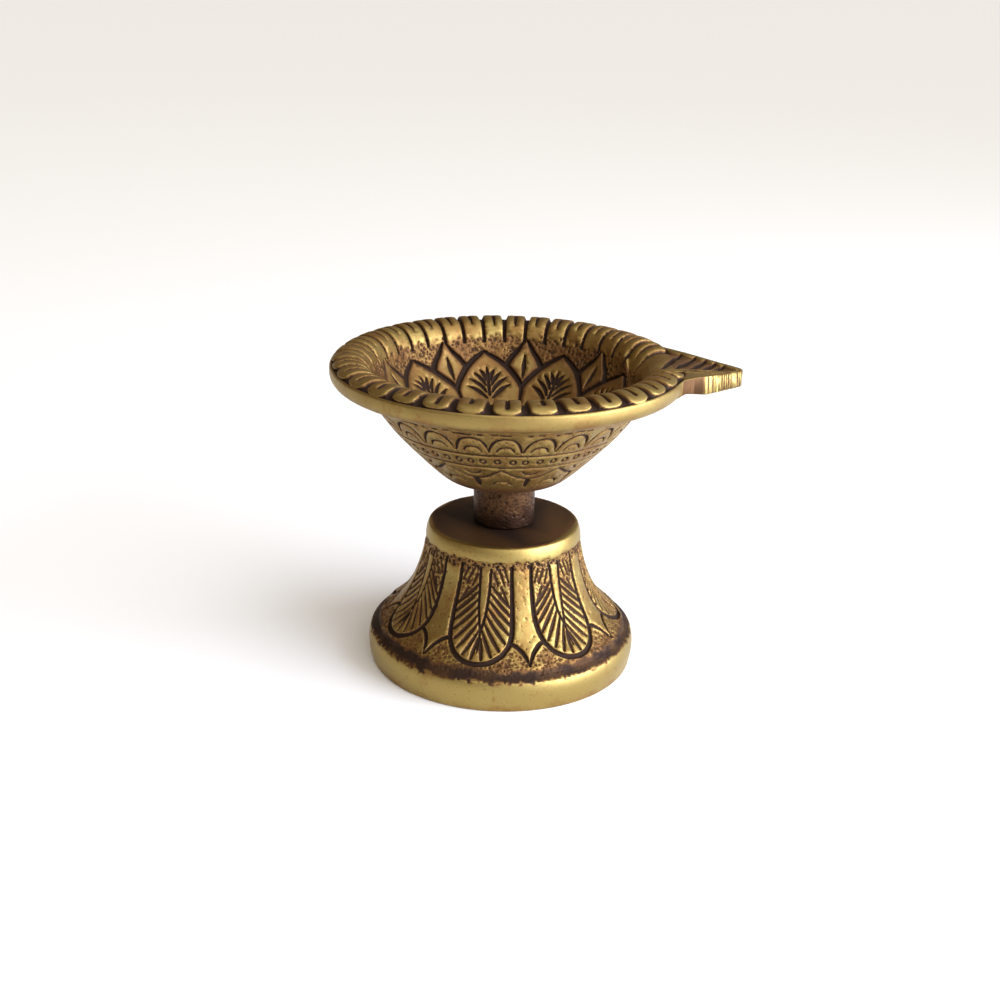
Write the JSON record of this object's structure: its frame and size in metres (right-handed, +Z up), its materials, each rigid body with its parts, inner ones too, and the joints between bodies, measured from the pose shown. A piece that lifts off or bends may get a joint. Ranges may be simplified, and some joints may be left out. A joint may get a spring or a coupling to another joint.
{
  "type": "diya oil lamp",
  "caption": "Small cast brass oil lamp: shallow carved bowl with a beak-shaped wick spout, short round stem, and hollow bell-shaped foot, held together by a threaded rod.",
  "frame": {"origin": "on the table, under the middle of the lamp's whole length; the lamp's own axis stands at x = -0.005375", "axes": "+X towards the tip of the spout, +Z up along the lamp's axis"},
  "size_m": [0.0768, 0.0662, 0.0609],
  "materials": {
    "bowl_brass": "hand-carved cast brass with brown patina in the cuts and a polished rim",
    "base_brass": "hand-carved cast brass with brown patina in the cuts and a polished foot band",
    "stem_brass": "pitted brass tube with a copper-brown patina",
    "fastener_steel": "dull zinc-plated steel"
  },
  "bodies": {
    "base": {"base_bell": "base_brass", "tie_rod": "fastener_steel", "flat_washer": "fastener_steel", "hex_nut": "fastener_steel"},
    "stem": {"stem_sleeve": "stem_brass"},
    "bowl": {"bowl": "bowl_brass"}
  },
  "joints": [
    {"name": "bowl_turn", "type": "hinge", "parent": "base", "child": "stem", "pos_m": [-0.00537, 0, 0.0367], "axis": [0, 0, 1], "range_deg": [0, 1620]},
    {"name": "bowl_rise", "type": "slide", "parent": "stem", "child": "bowl", "axis": [0, 0, 1], "range_m": [0, 0.0045]}
  ],
  "couplings": [
    {"joint": "bowl_rise", "follows": "bowl_turn", "m_per_rad": 0.00015915}
  ]
}
